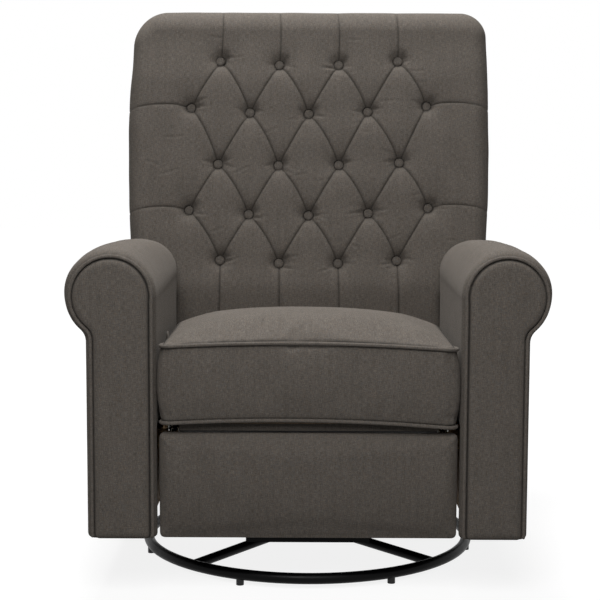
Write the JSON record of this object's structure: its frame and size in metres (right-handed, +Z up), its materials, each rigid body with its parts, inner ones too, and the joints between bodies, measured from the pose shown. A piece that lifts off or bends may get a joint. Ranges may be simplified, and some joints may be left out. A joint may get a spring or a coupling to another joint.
{
  "type": "swivel glider recliner",
  "caption": "Upholstered swivel glider recliner with rolled arms, diamond-tufted back, fold-out footrest and a round floor ring.",
  "frame": {"origin": "on the floor, under the middle of the chair as it rests upright and closed", "axes": "+X to the right seen from the front, +Y to the back, +Z up"},
  "size_m": [0.827, 0.8998, 1.0748],
  "materials": {
    "upholstery": "heathered linen-look weave, warm dark grey",
    "black_steel": "semi-gloss black powder coat",
    "link_steel": "satin black stamped steel",
    "zinc_steel": "zinc plated",
    "spring_steel": "oil-dark spring wire",
    "plywood": "raw plywood",
    "nylon": "moulded nylon"
  },
  "bodies": {
    "base": {"base_ring": "black_steel", "floor_glides": "nylon", "base_cross_bars": "black_steel", "lower_swivel_plate": "black_steel", "hub_bolts": "zinc_steel", "centre_rivet": "zinc_steel"},
    "turntable": {"race_balls": "zinc_steel", "race_cage": "nylon", "upper_swivel_plate": "black_steel", "glider_tray": "black_steel", "glider_towers": "black_steel", "glider_upper_pins": "zinc_steel"},
    "front_glide": {"front_glide_links": "black_steel"},
    "rear_glide": {"rear_glide_links": "black_steel"},
    "chair": {"glider_lower_pins": "zinc_steel", "glider_rails": "black_steel", "cross_tubes": "black_steel", "side_plate_left": "black_steel", "side_plate_right": "black_steel", "seat_frame": "plywood", "seat_springs": "spring_steel", "seat_brackets": "black_steel", "seat_cushion": "upholstery", "seat_front_band": "upholstery", "seat_welts": "upholstery", "arm_cover_left": "upholstery", "arm_cover_right": "upholstery", "arm_front_panel_left": "upholstery", "arm_front_panel_right": "upholstery", "arm_piping_left": "upholstery", "arm_piping_right": "upholstery", "arm_frame_left": "plywood", "arm_frame_right": "plywood", "arm_cleats": "plywood", "arm_bolts": "zinc_steel", "rear_panel": "upholstery"},
    "drive_links": {"footrest_drive_links": "link_steel", "footrest_drive_rivets": "zinc_steel", "drive_tube": "black_steel", "drive_stubs": "zinc_steel"},
    "cam_links": {"footrest_cam_links": "link_steel", "cam_rollers": "zinc_steel"},
    "lift_links": {"footrest_lift_links": "link_steel", "footrest_lift_rivets": "zinc_steel"},
    "carrier_links": {"footrest_carrier_links": "link_steel", "footrest_carrier_rivets": "zinc_steel"},
    "stay_links": {"footrest_stay_links": "link_steel"},
    "footrest": {"footrest_brackets": "link_steel", "footrest_board": "plywood", "footrest_pad": "upholstery"},
    "back": {"back_frame": "plywood", "back_springs": "spring_steel", "back_hinge_brackets": "black_steel", "back_hinge_pins": "zinc_steel", "back_cushion": "upholstery", "back_buttons": "upholstery", "outer_back_cover": "upholstery"},
    "rear_flap": {"rear_flap": "upholstery"},
    "release": {"release_tab": "upholstery", "release_wire": "zinc_steel"}
  },
  "joints": [
    {"name": "swivel", "type": "hinge", "parent": "base", "child": "turntable", "pos_m": [0, -0.055, 0.05], "axis": [0, 0, 1], "continuous": true},
    {"name": "glide", "type": "hinge", "parent": "turntable", "child": "rear_glide", "pos_m": [0, 0.065, 0.255], "axis": [-1, 0, 0], "range_deg": [-20, 20]},
    {"name": "front_link_swing", "type": "hinge", "parent": "turntable", "child": "front_glide", "pos_m": [0, -0.175, 0.255], "axis": [-1, 0, 0], "range_deg": [-20.1, 20.1]},
    {"name": "chair_level", "type": "hinge", "parent": "rear_glide", "child": "chair", "pos_m": [0, 0.065, 0.13], "axis": [-1, 0, 0], "range_deg": [-20.1, 20.1]},
    {"name": "footrest", "type": "hinge", "parent": "chair", "child": "drive_links", "pos_m": [0, -0.368, 0.293], "axis": [-1, 0, 0], "range_deg": [0, 85]},
    {"name": "cam_link_turn", "type": "hinge", "parent": "drive_links", "child": "cam_links", "pos_m": [0, -0.368, 0.209], "axis": [-1, 0, 0], "range_deg": [-104.1, 0]},
    {"name": "lift_link_turn", "type": "hinge", "parent": "drive_links", "child": "lift_links", "pos_m": [0, -0.368, 0.125], "axis": [-1, 0, 0], "range_deg": [-104.1, 0]},
    {"name": "carrier_link_turn", "type": "hinge", "parent": "cam_links", "child": "carrier_links", "pos_m": [0, -0.38832, 0.29051], "axis": [-1, 0, 0], "range_deg": [0, 104.1]},
    {"name": "panel_turn", "type": "hinge", "parent": "lift_links", "child": "footrest", "pos_m": [0, -0.40864, 0.28801], "axis": [-1, 0, 0], "range_deg": [0, 104.1]},
    {"name": "stay_link_turn", "type": "hinge", "parent": "carrier_links", "child": "stay_links", "pos_m": [0, -0.38832, 0.12251], "axis": [-1, 0, 0], "range_deg": [-104.1, 0]},
    {"name": "recline", "type": "hinge", "parent": "chair", "child": "back", "pos_m": [0, 0.16, 0.345], "axis": [-1, 0, 0], "range_deg": [0, 32]},
    {"name": "flap_hang", "type": "hinge", "parent": "back", "child": "rear_flap", "pos_m": [0, 0.27887, 0.26453], "axis": [-1, 0, 0], "range_deg": [-32.1, 0]},
    {"name": "release_pull", "type": "slide", "parent": "chair", "child": "release", "axis": [0, 0, 1], "range_m": [0, 0.02], "stiffness_N_per_m": 200, "springref_m": -0.01}
  ],
  "couplings": [
    {"joint": "front_link_swing", "follows": "glide", "ratio": 1},
    {"joint": "chair_level", "follows": "glide", "ratio": -1},
    {"joint": "cam_link_turn", "follows": "footrest", "ratio": -1.2235},
    {"joint": "lift_link_turn", "follows": "footrest", "ratio": -1.2235},
    {"joint": "carrier_link_turn", "follows": "footrest", "ratio": 1.2235},
    {"joint": "panel_turn", "follows": "footrest", "ratio": 1.2235},
    {"joint": "stay_link_turn", "follows": "footrest", "ratio": -1.2235},
    {"joint": "flap_hang", "follows": "recline", "ratio": -1}
  ]
}
